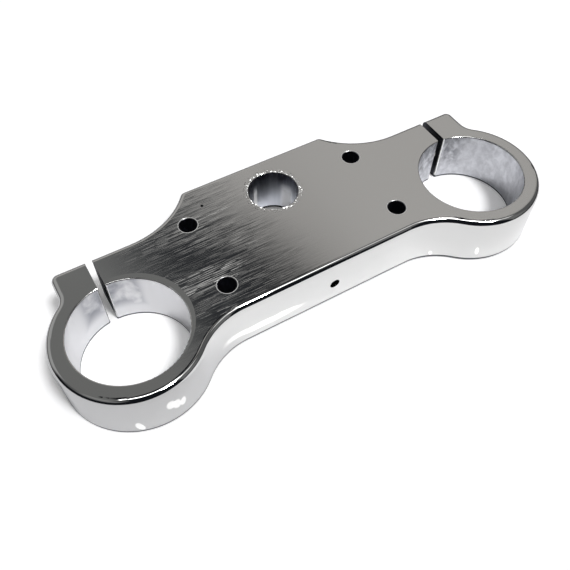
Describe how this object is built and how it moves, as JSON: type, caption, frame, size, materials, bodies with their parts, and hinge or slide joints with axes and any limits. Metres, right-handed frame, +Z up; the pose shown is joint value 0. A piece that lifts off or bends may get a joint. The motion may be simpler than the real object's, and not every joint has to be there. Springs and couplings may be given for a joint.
{
  "type": "motorcycle triple clamp",
  "caption": "Flat milled yoke with a split clamping ring at each end for the fork tubes, a stem bore in its middle boss and bolt holes for handlebar risers.",
  "frame": {"origin": "centre of the steering stem's bore, on its axis half-way up the plate", "axes": "+X across the yoke from one fork tube to the other; +Y backwards, away from the fork tubes; +Z up, along the stem and fork axes"},
  "size_m": [0.247, 0.093, 0.027],
  "materials": {
    "polished_aluminium": "milled from plate; top face brushed along its length, outer walls and edges polished bright, bores left as machined"
  },
  "bodies": {
    "root": {"triple_clamp": "polished_aluminium"}
  },
  "joints": []
}
